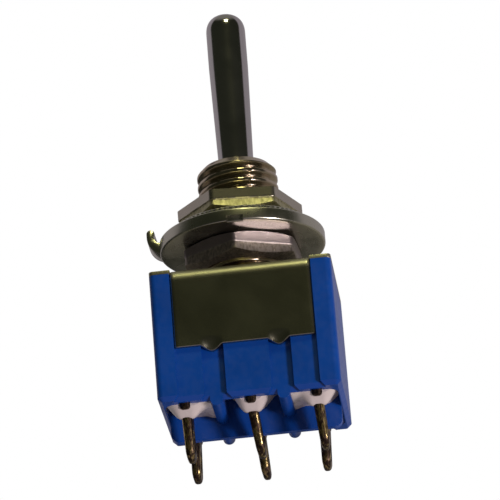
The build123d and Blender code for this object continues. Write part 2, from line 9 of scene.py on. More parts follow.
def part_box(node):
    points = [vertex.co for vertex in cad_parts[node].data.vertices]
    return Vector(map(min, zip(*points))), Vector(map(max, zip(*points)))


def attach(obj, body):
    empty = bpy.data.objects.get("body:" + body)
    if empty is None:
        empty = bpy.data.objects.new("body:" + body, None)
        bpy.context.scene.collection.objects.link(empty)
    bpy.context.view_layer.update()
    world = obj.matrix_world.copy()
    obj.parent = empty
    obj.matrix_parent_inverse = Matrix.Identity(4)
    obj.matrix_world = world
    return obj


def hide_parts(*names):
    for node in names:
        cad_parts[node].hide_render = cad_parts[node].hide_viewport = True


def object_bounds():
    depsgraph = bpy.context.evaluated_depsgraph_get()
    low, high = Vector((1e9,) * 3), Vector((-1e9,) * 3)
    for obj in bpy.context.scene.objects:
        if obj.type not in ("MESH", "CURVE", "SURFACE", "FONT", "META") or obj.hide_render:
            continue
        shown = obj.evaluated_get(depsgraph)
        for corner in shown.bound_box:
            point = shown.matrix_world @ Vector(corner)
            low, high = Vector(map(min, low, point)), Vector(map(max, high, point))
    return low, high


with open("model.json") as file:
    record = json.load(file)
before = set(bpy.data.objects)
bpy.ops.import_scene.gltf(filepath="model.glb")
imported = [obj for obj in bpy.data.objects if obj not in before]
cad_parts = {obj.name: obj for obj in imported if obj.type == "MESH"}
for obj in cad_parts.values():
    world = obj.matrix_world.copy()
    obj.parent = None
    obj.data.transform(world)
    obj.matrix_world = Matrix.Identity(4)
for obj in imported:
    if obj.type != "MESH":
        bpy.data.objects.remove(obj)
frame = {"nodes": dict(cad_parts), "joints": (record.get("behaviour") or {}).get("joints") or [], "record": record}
cad_low, cad_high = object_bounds()
NODES = frame["nodes"]
MM = 0.001
INSIDE_MM = 0.005  # keeps turned pieces inside the solids' faceted boxes
ROWS = {"front": -1, "rear": 1}
COLUMNS = {"left": -1, "common": 0, "right": 1}


# ---- material helpers -----------------------------------------------------
# Grain sizes are in cells per metre. A stretch under 1 draws the grain out in height.
PLATED_CLOUD = 350
SHEARED_CLOUD = 400
FOLDED_CLOUD = 300
FOLDED_GRAIN = 7000
FOLDED_UNEVEN = 0.06  # what the cloud adds to a folded sheet's roughness
TORN_GRAIN = 5200
TORN_STRETCH = (1.0, 1.0, 0.55)
SKIN_RELIEF = 0.12  # share of the torn band's relief that the sheared skin has
STREAK_GRAIN = 3600
STREAK_STRETCH = (1.0, 1.0, 0.28)
STREAK_WORN = (0.48, 0.66)  # streak values over which tarnish gives way to gold
TARNISH_GRAIN = 9000
TARNISH_STRETCH = (1.0, 1.0, 0.4)
TARNISH_SHINE = 0.45
GOLD_SHINE = 0.24
PAINTED_SHADE_WEAR = 0.15  # share of the wear that is left near the case, where painted shade keeps the lugs dark


def row_frame(tree, stretch=(1.0, 1.0, 1.0)):
    """Place in the row frame, in metres, which travels with the piece."""
    place = tree.nodes.new("ShaderNodeTexCoord")
    mapping = tree.nodes.new("ShaderNodeMapping")
    mapping.inputs["Scale"].default_value = stretch
    tree.links.new(place.outputs["Object"], mapping.inputs["Vector"])
    return mapping.outputs["Vector"]


def noise(tree, scale, detail=3.0, stretch=(1.0, 1.0, 1.0), distortion=0.0):
    """Noise with a scale in cells per metre."""
    texture = tree.nodes.new("ShaderNodeTexNoise")
    texture.inputs["Scale"].default_value = scale
    texture.inputs["Detail"].default_value = detail
    texture.inputs["Distortion"].default_value = distortion
    tree.links.new(row_frame(tree, stretch), texture.inputs["Vector"])
    return texture.outputs["Fac"]


def ramp(tree, value, start, tones, end):
    """Colour that goes from one tone to another between two values."""
    node = tree.nodes.new("ShaderNodeValToRGB")
    for element, position, tone in zip(node.color_ramp.elements, (start, end), tones):
        element.position = position
        element.color = (*tone, 1.0)
    tree.links.new(value, node.inputs["Fac"])
    return node.outputs["Color"]


def remap(tree, value, low, high, out_low, out_high):
    """Smooth step from out_low to out_high as value goes from low to high."""
    node = tree.nodes.new("ShaderNodeMapRange")
    node.interpolation_type = "SMOOTHSTEP"
    node.inputs["From Min"].default_value = low
    node.inputs["From Max"].default_value = high
    node.inputs["To Min"].default_value = out_low
    node.inputs["To Max"].default_value = out_high
    tree.links.new(value, node.inputs["Value"])
    return node.outputs["Result"]


def height_mask(tree, low, high):
    """1 above height high, 0 below height low, in metres."""
    split = tree.nodes.new("ShaderNodeSeparateXYZ")
    tree.links.new(row_frame(tree), split.inputs["Vector"])
    return remap(tree, split.outputs["Z"], low, high, 0.0, 1.0)


def math_node(tree, operation, first, second):
    node = tree.nodes.new("ShaderNodeMath")
    node.operation = operation
    for socket, value in zip(node.inputs, (first, second)):
        if isinstance(value, (int, float)):
            socket.default_value = value
        else:
            tree.links.new(value, socket)
    return node.outputs["Value"]


def mix(tree, factor, first, second):
    """Mix of two colours, each a tuple or a socket."""
    node = tree.nodes.new("ShaderNodeMix")
    node.data_type = "RGBA"
    tree.links.new(factor, node.inputs["Factor"])
    for socket, value in ((node.inputs["A"], first), (node.inputs["B"], second)):
        if isinstance(value, tuple):
            socket.default_value = (*value, 1.0)
        else:
            tree.links.new(value, socket)
    return node.outputs["Result"]


def mix_shaders(tree, factor, first, second):
    node = tree.nodes.new("ShaderNodeMixShader")
    tree.links.new(factor, node.inputs["Fac"])
    tree.links.new(first, node.inputs[1])
    tree.links.new(second, node.inputs[2])
    return node.outputs["Shader"]


def bump(tree, shader, height, strength, distance):
    node = tree.nodes.new("ShaderNodeBump")
    node.inputs["Strength"].default_value = strength
    node.inputs["Distance"].default_value = distance
    tree.links.new(height, node.inputs["Height"])
    tree.links.new(node.outputs["Normal"], shader.inputs["Normal"])


def new_material(name, metallic):
    material = bpy.data.materials.new(name)
    material.use_nodes = True
    tree = material.node_tree
    shader = tree.nodes["Principled BSDF"]
    shader.inputs["Metallic"].default_value = metallic
    return material, tree, shader


def finish_material(tree, shader, colour, roughness, height, strength, depth_mm):
    """Links a material's colour, roughness and relief."""
    tree.links.new(colour, shader.inputs["Base Color"])
    tree.links.new(roughness, shader.inputs["Roughness"])
    bump(tree, shader, height, strength, depth_mm * MM)


def plated(name, tones, rough, grain, depth_mm, strength):
    """Plated or bare metal: cloudy tone, fine grain, uneven shine."""
    material, tree, shader = new_material(name, 1.0)
    cloud = noise(tree, PLATED_CLOUD, 4.0, distortion=0.4)
    fine = noise(tree, grain, 2.0)
    colour = ramp(tree, cloud, 0.32, tones, 0.68)
    shine = remap(tree, cloud, 0.3, 0.7, *rough)
    finish_material(tree, shader, colour, shine, fine, strength, depth_mm)
    return material


def moulded(name, tones, rough, grain, depth_mm, strength, blotch, specular):
    """Moulded or cast plastic: slight tone, satin skin, faint ripple."""
    material, tree, shader = new_material(name, 0.0)
    shader.inputs["Specular IOR Level"].default_value = specular
    cloud = noise(tree, blotch, 3.0, distortion=0.3)
    fine = noise(tree, grain, 3.0)
    colour = ramp(tree, cloud, 0.3, tones, 0.7)
    shine = remap(tree, fine, 0.35, 0.65, *rough)
    finish_material(tree, shader, colour, shine, fine, strength, depth_mm)
    return material


def sheared(name, skin_tones, torn_tones, band, skin_shine, torn_shine):
    """Stamped nut: smooth sheared skin above, torn grainy band below."""
    material, tree, shader = new_material(name, 1.0)
    cloud = noise(tree, SHEARED_CLOUD, 3.0)
    grain = noise(tree, TORN_GRAIN, 3.0, TORN_STRETCH)
    skin = ramp(tree, cloud, 0.3, skin_tones, 0.7)
    torn = ramp(tree, grain, 0.38, torn_tones, 0.62)
    above = height_mask(tree, *band)
    shine = remap(tree, above, 0.0, 1.0, torn_shine, skin_shine)
    relief = math_node(tree, "MULTIPLY", grain, remap(tree, above, 0.0, 1.0, 1.0, SKIN_RELIEF))
    finish_material(tree, shader, mix(tree, above, torn, skin), shine, relief, 0.6, 0.03)
    return material


def folded(name, tones, leg_shine, bend_shine, bend_band):
    """Plated sheet whose skin is drawn dull where it is bent."""
    material, tree, shader = new_material(name, 1.0)
    cloud = noise(tree, FOLDED_CLOUD, 4.0, distortion=0.4)
    fine = noise(tree, FOLDED_GRAIN, 2.0)
    drawn = remap(tree, height_mask(tree, *bend_band), 0.0, 1.0, leg_shine, bend_shine)
    shine = math_node(tree, "ADD", drawn, math_node(tree, "MULTIPLY", cloud, FOLDED_UNEVEN))
    colour = ramp(tree, cloud, 0.32, tones, 0.68)
    finish_material(tree, shader, colour, shine, fine, 0.6, 0.008)
    return material


def tarnished(name, gold_tones, dark_tones, painted_shade_band):
    """Lug metal: dark tarnish worn through to gold in streaks along the lug; near the case painted shade keeps it
    dark tarnish.
    """
    material, tree, shader = new_material(name, 1.0)
    streak = noise(tree, STREAK_GRAIN, 3.0, STREAK_STRETCH, 0.6)
    fine = noise(tree, TARNISH_GRAIN, 2.0, TARNISH_STRETCH)
    worn = remap(tree, streak, *STREAK_WORN, 0.0, 1.0)
    # Painted shade: near the case most of the wear is dropped, so the prongs stay dark.
    in_painted_shade = height_mask(tree, *painted_shade_band)
    left = remap(tree, in_painted_shade, 0.0, 1.0, 1.0, PAINTED_SHADE_WEAR)
    worn = math_node(tree, "MULTIPLY", worn, left)
    gold = ramp(tree, fine, 0.3, gold_tones, 0.7)
    dark = ramp(tree, fine, 0.3, dark_tones, 0.7)
    shine = remap(tree, worn, 0.0, 1.0, TARNISH_SHINE, GOLD_SHINE)
    relief = math_node(tree, "ADD", streak, math_node(tree, "MULTIPLY", fine, 0.4))
    finish_material(tree, shader, mix(tree, worn, dark, gold), shine, relief, 0.8, 0.05)
    return material


# ---- materials ------------------------------------------------------------
TEAR_SHARE = 0.5  # share of a nut's height that is torn
BEND_BAND = (-1.1 * MM, -0.5 * MM)  # heights where the frame's legs turn into its bends
PAINTED_SHADE_BAND = (-10.45 * MM, -10.3 * MM)  # heights above which the lugs are kept dark towards the case: painted shade
GOLD_TONES = ((0.34, 0.25, 0.10), (0.78, 0.62, 0.26))
DARK_TONES = ((0.024, 0.017, 0.013), (0.10, 0.066, 0.048))
# Slot: darkest and lightest tone, roughness range, grain (cells per metre, depth in mm, strength).
PLATED = {
    "bushing_plate": (((0.44, 0.37, 0.27), (0.58, 0.50, 0.38)), (0.14, 0.24), 5000, 0.006, 0.6),
    "ring_plate": (((0.48, 0.47, 0.38), (0.57, 0.56, 0.47)), (0.21, 0.31), 6000, 0.005, 0.6),
    "hardware_plate": (((0.42, 0.40, 0.33), (0.54, 0.52, 0.44)), (0.20, 0.34), 6000, 0.005, 0.45),
    "lever_chrome": (((0.52, 0.50, 0.50), (0.58, 0.56, 0.56)), (0.11, 0.16), 3000, 0.001, 0.15),
    "spring_wire": (((0.48, 0.48, 0.48), (0.58, 0.58, 0.58)), (0.2, 0.3), 5000, 0.002, 0.3),
    "plunger_brass": (((0.58, 0.42, 0.17), (0.70, 0.53, 0.24)), (0.18, 0.3), 5000, 0.003, 0.3),
    "rocker_strip": (((0.66, 0.62, 0.55), (0.76, 0.72, 0.66)), (0.2, 0.32), 5000, 0.003, 0.3),
    "contact_silver": (((0.72, 0.71, 0.68), (0.82, 0.81, 0.78)), (0.2, 0.3), 5000, 0.002, 0.3),
}
# The same, then the size of the blotches (cells per metre) and the specular level.
MOULDED = {
    "case_blue": (((0.001, 0.044, 0.250), (0.002, 0.053, 0.300)), (0.28, 0.38), 2600, 0.004, 0.35, 300, 0.4),
    "carrier_plastic": (((0.66, 0.63, 0.54), (0.74, 0.71, 0.62)), (0.42, 0.55), 2200, 0.004, 0.3, 300, 0.5),
    "potting_resin": (((0.52, 0.46, 0.43), (0.62, 0.56, 0.53)), (0.22, 0.36), 900, 0.02, 0.4, 500, 0.5),
}
MATERIALS = {slot: plated(slot, *finish) for slot, finish in PLATED.items()}
MATERIALS.update({slot: moulded(slot, *finish) for slot, finish in MOULDED.items()})
MATERIALS["frame_plate"] = folded(
    "frame_plate", ((0.38, 0.37, 0.27), (0.46, 0.45, 0.34)), 0.19, 0.38, BEND_BAND,
)
MATERIALS["lug_metal"] = tarnished("lug_metal", GOLD_TONES, DARK_TONES, PAINTED_SHADE_BAND)

# Heights at which the nuts' sides change from sheared to torn, in metres.
upper_low, upper_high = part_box("upper_nut")
lower_low, lower_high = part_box("lower_nut")
UPPER_TEAR = upper_low.z + TEAR_SHARE * (upper_high.z - upper_low.z)
LOWER_TEAR = lower_low.z + TEAR_SHARE * (lower_high.z - lower_low.z)
UPPER_NUT_FINISH = sheared(
    "upper_nut_sheared",
    ((0.46, 0.43, 0.35), (0.52, 0.48, 0.40)), ((0.30, 0.285, 0.17), (0.48, 0.455, 0.28)),
    (UPPER_TEAR - 0.06 * MM, UPPER_TEAR + 0.04 * MM), 0.27, 0.46,
)
# The lower nut's tones are a darker, pinker copy of the upper nut's: painted shade, with a painted pink
# reflection.
LOWER_NUT_SHADED_FINISH = sheared(
    "lower_nut_sheared_and_shaded",
    ((0.23, 0.20, 0.205), (0.28, 0.245, 0.25)), ((0.23, 0.205, 0.18), (0.40, 0.355, 0.315)),
    (LOWER_TEAR - 0.06 * MM, LOWER_TEAR + 0.06 * MM), 0.46, 0.44,
)
for part in frame["record"]["subparts"]:
    node = NODES[part["node"]]
    node.data.materials.clear()
    node.data.materials.append(MATERIALS[part["material_slot"]])


# ---- mesh helpers ---------------------------------------------------------
WELD = 1e-4 * MM
SMOOTH_UP_TO = math.radians(35)


def add_mesh(name, points, faces, material, node, body="base"):
    """A welded, smooth-shaded mesh, from points in mm, that stands for a CAD node."""
    mesh = bpy.data.meshes.new(name)
    mesh.from_pydata([Vector(p) * MM for p in points], [], faces)
    weld(mesh, drop_slivers=True)
    place_piece(name, mesh, material, node, body)


def weld(mesh, drop_slivers):
    """Joins points that coincide and turns the faces outwards."""
    work = bmesh.new()
    work.from_mesh(mesh)
    bmesh.ops.remove_doubles(work, verts=work.verts, dist=WELD)
    if drop_slivers:
        bmesh.ops.dissolve_degenerate(work, edges=work.edges, dist=WELD)
    bmesh.ops.recalc_face_normals(work, faces=work.faces)
    work.to_mesh(mesh)
    work.free()


def place_piece(name, mesh, material, node, body):
    mesh.materials.clear()
    mesh.materials.append(material)
    mesh.shade_smooth()
    piece = bpy.data.objects.new(name, mesh)
    bpy.context.scene.collection.objects.link(piece)
    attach(piece, body)
    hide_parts(node)
    mesh.set_sharp_from_angle(angle=SMOOTH_UP_TO)


def ring_faces(rows, columns, close_rows=True):
    """Quads of a grid that is closed round, and from last row to first."""
    faces = []
    for row in range(rows if close_rows else rows - 1):
        here, there = row * columns, (row + 1) % rows * columns
        for column in range(columns):
            after = (column + 1) % columns
            faces.append((here + column, here + after, there + after, there + column))
    return faces


def sheet_faces(rows, columns):
    """Two grids and the strip that closes them all round."""
    faces, offset = [], rows * columns
    for row in range(rows - 1):
        for column in range(columns - 1):
            a = row * columns + column
            faces.append((a, a + 1, a + 1 + columns, a + columns))
            faces.append(tuple(v + offset for v in faces[-1][::-1]))
    rim = list(range(columns))
    rim += [row * columns + columns - 1 for row in range(1, rows)]
    rim += [(rows - 1) * columns + column for column in range(columns - 2, -1, -1)]
    rim += [row * columns for row in range(rows - 2, 0, -1)]
    for here, there in zip(rim, rim[1:] + rim[:1]):
        faces.append((here, there, there + offset, here + offset))
    return faces


def append_part(points, faces, more_points, more_faces):
    """Adds a second mesh's points and faces to the first one's lists."""
    start = len(points)
    points += more_points
    faces += [tuple(v + start for v in face) for face in more_faces]


def around(radius, angle, height):
    """A point from its polar place about the bushing's axis."""
    return radius * math.cos(angle), radius * math.sin(angle), height


def smooth(value):
    """Smooth step of a value from 0 to 1."""
    value = min(1.0, max(0.0, value))
    return value * value * (3 - 2 * value)


def arc(centre, radius, start, end, steps):
    """Points on an arc, angles in degrees from the first axis to the second."""
    angles = [math.radians(start + (end - start) * step / steps) for step in range(steps + 1)]
    return [(centre[0] + radius * math.cos(a), centre[1] + radius * math.sin(a)) for a in angles]


# ---- lever: polished bat with a blunt domed end ---------------------------
lever_low, lever_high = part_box("toggle_lever")
LEVER_TOP = lever_high.z / MM - INSIDE_MM
ARM_END = lever_low.z / MM
BALL_R = lever_high.x / MM
PIVOT_Z = frame["joints"][0]["pos_m"][2] / MM
ROOT_R = 1.275
HEAD_R = 1.45
ARM_R = 0.8
ARM_CHAMFER = 0.1
BALL_BASE = 1.3  # from the ball's centre down to its flat
HEAD_STRAIGHT = 2.8
DOME_POWER = 2.45  # 2 would make the end a hemisphere
MOUTH_Z = 9.3  # where the taper starts, in the bushing's mouth
BALL_STEPS = 28
TAPER_STEPS = 24
DOME_STEPS = 24
LEVER_SEGMENTS = 96


def lever_profile():
    """(radius, height) pairs from the lower arm's end to the top of the dome."""
    base_angle = -math.degrees(math.asin(BALL_BASE / BALL_R))
    neck_angle = math.degrees(math.acos(ROOT_R / BALL_R))
    dome_z = LEVER_TOP - HEAD_R
    profile = [(0, ARM_END), (ARM_R - ARM_CHAMFER, ARM_END), (ARM_R, ARM_END + ARM_CHAMFER)]
    profile.append((ARM_R, PIVOT_Z - BALL_BASE))
    profile += arc((0, PIVOT_Z), BALL_R, base_angle, neck_angle, BALL_STEPS)
    for step in range(TAPER_STEPS + 1):
        share = step / TAPER_STEPS
        height = MOUTH_Z + (dome_z - HEAD_STRAIGHT - MOUTH_Z) * share
        profile.append((ROOT_R + (HEAD_R - ROOT_R) * share, height))
    profile.append((HEAD_R, dome_z - HEAD_STRAIGHT / 2))
    for step in range(DOME_STEPS + 1):
        turn = math.pi / 2 * step / DOME_STEPS
        reach = math.cos(turn) ** (2 / DOME_POWER)
        rise = math.sin(turn) ** (2 / DOME_POWER)
        profile.append((HEAD_R * reach, dome_z + HEAD_R * rise))
    return profile


def make_lever():
    profile = lever_profile()
    angles = [2 * math.pi * step / LEVER_SEGMENTS for step in range(LEVER_SEGMENTS)]
    points = [around(radius, angle, height) for radius, height in profile for angle in angles]
    faces = ring_faces(len(profile), LEVER_SEGMENTS, close_rows=False)
    chrome = MATERIALS["lever_chrome"]
    add_mesh("lever_bat", points, faces, chrome, "toggle_lever", "lever")


make_lever()

# ---- bushing with its real thread -----------------------------------------
SHEET = 0.35  # thickness of the frame, in which the bushing is staked
FRAME_HOLE_R = 2.65
HOLE_STEPS = 72
THREAD_PITCH = 0.75
THREAD_DEPTH = 0.34
THREAD_START = 0.75
THREAD_FADE = 0.5
THREAD_FLANK = 1.25  # over 1 leaves a flat crest between the grooves
THREAD_ROWS = 14  # rows of points for each turn of the thread
BUSHING_R = 2.95
TOP_R = 2.45
RELIEF_R = 2.7
RELIEF_TOP = 0.7
BORE_R = 2.2
BORE_FOOT = 3.0
STAKE_CHAMFER = 0.06
MOUTH_R = 2.41
MOUTH_INNER_R = 2.33
MOUTH_ROLL = 0.02
THROAT_R = 1.75
THROAT_Z = 6.361
SEAT_Z = 5.911
KEYWAY_HALF_W = 0.5
KEYWAY_FLOOR_Y = 2.55
KEYWAY_FOOT = 0.9
KEYWAY_STEPS = 6
BUSHING_COLUMNS = 150
bush_low, bush_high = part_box("bushing")
BUSHING_TOP = bush_high.z / MM
STAKE_R = bush_high.x / MM
STAKE_Z = bush_low.z / MM


def thread_radius(angle, height):
    """Outside of the bushing: V thread with rounded crests, chamfered on top."""
    phase = (height / THREAD_PITCH - angle / (2 * math.pi)) % 1.0
    flank = min(1.0, abs(phase - 0.5) * 2 * THREAD_FLANK)
    groove = 0.5 - 0.5 * math.cos(math.pi * (1 - flank))
    fade = min(1.0, max(0.0, (height - THREAD_START) / THREAD_FADE))
    threaded = BUSHING_R - THREAD_DEPTH * groove * fade
    return min(threaded, TOP_R + (BUSHING_TOP - height))


def bushing_columns():
    """Round the bushing: (angle, None) outside the keyway, (angle, x) in it."""
    half = math.asin(KEYWAY_HALF_W / BUSHING_R)
    start, sweep = math.pi / 2 + half, 2 * math.pi - 2 * half
    columns = [(start + sweep * step / BUSHING_COLUMNS, None) for step in range(BUSHING_COLUMNS + 1)]
    for step in range(KEYWAY_STEPS + 1):
        x = KEYWAY_HALF_W * (1 - 2 * step / KEYWAY_STEPS)
        columns.append((math.acos(x / BUSHING_R), x))
    return columns


def thread_point(angle, x, height):
    """A point of the bushing's outside, on the keyway's floor where there is one."""
    radius = thread_radius(angle, height)
    if x is None:
        return around(radius, angle, height)
    if height < KEYWAY_FOOT:
        return x, math.sqrt(radius**2 - x**2), height
    return x, KEYWAY_FLOOR_Y, height


def make_bushing():
    """Rows of points up the outside, over the mouth and down the bore."""
    columns = bushing_columns()
    foot = [(BORE_R, STAKE_Z), (STAKE_R - STAKE_CHAMFER, STAKE_Z), (STAKE_R, STAKE_Z + STAKE_CHAMFER)]
    foot += [(STAKE_R, -SHEET), (FRAME_HOLE_R, -SHEET), (FRAME_HOLE_R, 0.0)]
    foot += [(RELIEF_R, 0.0), (RELIEF_R, RELIEF_TOP)]
    mouth = [(MOUTH_R, BUSHING_TOP), (MOUTH_INNER_R, BUSHING_TOP - MOUTH_ROLL)]
    mouth += [(THROAT_R, THROAT_Z), (BORE_R, SEAT_Z), (BORE_R, BORE_FOOT)]
    steps = int((BUSHING_TOP - THREAD_START) / THREAD_PITCH * THREAD_ROWS)
    heights = [THREAD_START + (BUSHING_TOP - THREAD_START) * step / steps for step in range(steps + 1)]
    heights.insert(sum(h < KEYWAY_FOOT for h in heights), KEYWAY_FOOT)
    points = [around(radius, angle, height) for radius, height in foot for angle, _ in columns]
    points += [thread_point(angle, x, height) for height in heights for angle, x in columns]
    points += [around(radius, angle, height) for radius, height in mouth for angle, _ in columns]
    faces = ring_faces(len(foot) + len(heights) + len(mouth), len(columns))
    add_mesh("threaded_bushing", points, faces, MATERIALS["bushing_plate"], "bushing")


make_bushing()

# ---- stamped hexagon nuts -------------------------------------------------
NUT_FLATS = 8.0
NUT_CORNER_R = 4.56
NUT_BEVEL_R = 3.75
NUT_BEVEL_SLOPE = 0.4
NUT_BORE_R = BUSHING_R + 0.02
NUT_CHAMFER = 0.2
NUT_EDGE = 0.05  # rolled edge of a nut without a bevel on top
NUT_SIDE_COLUMNS = 36
NUT_SIDE_ROWS = 26
TEAR_STEP = 0.06  # height over which the skin breaks
TEAR_STREAKS = 40
TEAR_STREAK_RISE = 2.2
TEAR_UNEVEN = 0.22
TEAR_FINER = 2.3  # how much finer the second layer of streaks is
TEAR_FINER_SHARE = 0.5
# Nut, turn about the axis in degrees, finish, height of the tear, bevel on top, depth of the tear.
NUTS = (
    ("upper_nut", 8.0, UPPER_NUT_FINISH, UPPER_TEAR, False, 0.10),
    ("lower_nut", 25.9, LOWER_NUT_SHADED_FINISH, LOWER_TEAR, True, 0.05),
)


def tear_inset(angle, height, tear_z, tear_mm, foot):
    """How far a nut's torn lower band lies back: most at the tear, none at the foot."""
    below = min(1.0, max(0.0, (tear_z - height) / TEAR_STEP))
    place = Vector(around(TEAR_STREAKS, angle, height * TEAR_STREAK_RISE))
    grain = value_noise.noise(place) + TEAR_FINER_SHARE * value_noise.noise(place * TEAR_FINER)
    lean = max(0.0, (height - foot) / (tear_z - foot))
    return below * tear_mm * lean * (1.0 + TEAR_UNEVEN * grain)


def nut_column(angle, local, low, high, tear_z, bevel_top, tear_mm):
    """(radius, height) pairs at an angle, from the bore under a nut, up its side, to the bore."""
    edge = min(NUT_FLATS / 2 / math.cos(local), NUT_CORNER_R)
    drop = (edge - NUT_BEVEL_R) * NUT_BEVEL_SLOPE
    foot, head = low + drop, high - (drop if bevel_top else 0.0)
    column = [(NUT_BORE_R, low + NUT_CHAMFER), (NUT_BORE_R + NUT_CHAMFER, low), (NUT_BEVEL_R, low)]
    for row in range(NUT_SIDE_ROWS):
        height = foot + (head - foot) * row / (NUT_SIDE_ROWS - 1)
        column.append((edge - tear_inset(angle, height, tear_z, tear_mm, foot), height))
    column.append((NUT_BEVEL_R if bevel_top else edge - NUT_EDGE, high))
    column += [(NUT_BORE_R + NUT_CHAMFER, high), (NUT_BORE_R, high - NUT_CHAMFER)]
    return column + [(NUT_BORE_R, (low + high) / 2)]


def make_nut(nut, turn, finish, tear, bevel_top, tear_mm):
    low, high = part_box(nut)
    angles, columns = [], []
    for step in range(6 * NUT_SIDE_COLUMNS):
        local = (step % NUT_SIDE_COLUMNS / NUT_SIDE_COLUMNS - 0.5) * math.pi / 3
        angle = math.radians(turn - 90) + step // NUT_SIDE_COLUMNS * math.pi / 3 + local
        angles.append(angle)
        columns.append(nut_column(angle, local, low.z / MM, high.z / MM, tear / MM, bevel_top, tear_mm))
    points = [around(radius, a, height) for row in zip(*columns) for a, (radius, height) in zip(angles, row)]
    faces = ring_faces(len(columns[0]), len(columns))
    add_mesh("stamped_" + nut, points, faces, finish, nut)


for nut_values in NUTS:
    make_nut(*nut_values)

# ---- lock washer: serrated rim, teeth bent up towards the nut --------------
WASHER_RIM_R = 5.3
WASHER_SERRATION = 0.07
WASHER_SERRATIONS = 84
WASHER_ROOT_R = 4.1
WASHER_BORE_R = 3.15
WASHER_SHEET = 0.5
WASHER_ROLL = 0.08
WASHER_TEETH = 8
WASHER_SLOT = math.radians(12.0)
TOOTH_OVERLAP = 0.1
TOOTH_STEPS = 8
washer_low, washer_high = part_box("lock_washer")
WASHER_Z = washer_low.z / MM
TOOTH_RISE = (washer_high.z - washer_low.z) / MM - WASHER_SHEET


def washer_rim():
    """The washer's outer ring, with a fine zigzag round its rim."""
    top, columns = WASHER_Z + WASHER_SHEET, WASHER_SERRATIONS * 4
    section = [(WASHER_ROOT_R, WASHER_Z), (WASHER_RIM_R - WASHER_ROLL, WASHER_Z)]
    section += [(WASHER_RIM_R, WASHER_Z + WASHER_ROLL), (WASHER_RIM_R, top - WASHER_ROLL)]
    section += [(WASHER_RIM_R - WASHER_ROLL, top), (WASHER_ROOT_R, top)]
    points = []
    for radius, height in section:
        for column in range(columns):
            zigzag = abs(column % 4 - 2) / 2
            reach = radius - WASHER_SERRATION * zigzag * (radius > WASHER_ROOT_R)
            points.append(around(reach, 2 * math.pi * column / columns, height))
    return points, ring_faces(len(section), columns)


def washer_tooth(number):
    """One tooth, level on one side and bent up on the other."""
    sweep = 2 * math.pi / WASHER_TEETH - WASHER_SLOT
    points, faces = [], []
    for step in range(TOOTH_STEPS + 1):
        angle = 2 * math.pi * number / WASHER_TEETH + sweep * step / TOOTH_STEPS
        lift = TOOTH_RISE * step / TOOTH_STEPS
        for radius, up in ((WASHER_ROOT_R + TOOTH_OVERLAP, 0.0), (WASHER_BORE_R, lift)):
            for height in (WASHER_Z + up, WASHER_Z + up + WASHER_SHEET):
                points.append(around(radius, angle, height))
    for step in range(TOOTH_STEPS):
        a = step * 4
        for here, there in ((0, 2), (2, 3), (3, 1), (1, 0)):
            faces.append((a + here, a + there, a + there + 4, a + here + 4))
    end = TOOTH_STEPS * 4
    faces += [(0, 1, 3, 2), (end, end + 2, end + 3, end + 1)]
    return points, faces


def make_washer():
    points, faces = washer_rim()
    for number in range(WASHER_TEETH):
        append_part(points, faces, *washer_tooth(number))
    add_mesh("toothed_washer", points, faces, MATERIALS["ring_plate"], "lock_washer")


make_washer()

# ---- locating ring: stamped, with a bent tab and a notch -------------------
RING_TAB_HALF_W = 0.9
RING_NOTCH_HALF_W = 0.6
RING_NOTCH_TOP = 0.4
RING_NOTCH_DEPTH = 0.25
RING_LOWER_ROLL = 0.15
RING_UPPER_ROLL = 0.14
RING_FLAT = 0.6  # the underside is flat up to this far from the rim
RING_CHAMFER = 0.1
RING_KEY_HALF_W = 0.45
RING_KEY_R = 2.6
RING_BORE_R = BUSHING_R + 0.1
RING_BEND_R = 1.4
RING_TIP_R = 0.3
RING_STEPS = 240
ROLL_STEPS = 5
RING_STEP_WIDTH = 0.0005  # radians over which a notch's side runs
TAB_ROOT = 0.9  # how far in from the rim the tab's root ends
TAB_SUNK = 0.02  # the root lies this deep in the ring
TAB_BEND_STEPS = 12
TAB_TIP_STEPS = 8
TAB_FILLET_R = 0.7
TAB_FILLET_ARC = (190, 262)  # degrees
TAB_FILLET_IN = 0.35
TAB_FILLET_UP = 0.65
# Along the tab, as a share of its half width, and how far its section is pulled in there.
TAB_EDGES = ((-1, 0.06), (-0.97, 0.02), (-0.92, 0.0), (0.92, 0.0), (0.97, 0.02), (1, 0.06))
ring_low, ring_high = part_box("locating_ring")
RING_Z = ring_low.z / MM
RING_TOP = washer_low.z / MM
RING_R = ring_high.x / MM - INSIDE_MM
TAB_X = ring_low.x / MM + INSIDE_MM
TAB_TOP = ring_high.z / MM
NOTCH_HALF_ANGLE = RING_NOTCH_HALF_W / RING_R
KEY_HALF_ANGLE = RING_KEY_HALF_W / RING_BORE_R


def ring_columns():
    """Angles round the ring, doubled where the notch and the key have sides."""
    angles = [2 * math.pi * step / RING_STEPS for step in range(RING_STEPS)]
    for middle, half in ((-math.pi / 2, NOTCH_HALF_ANGLE), (math.pi / 2, KEY_HALF_ANGLE)):
        for edge in (middle - half, middle + half):
            angles += [(edge - RING_STEP_WIDTH) % (2 * math.pi), (edge + RING_STEP_WIDTH) % (2 * math.pi)]
    return sorted(angles)


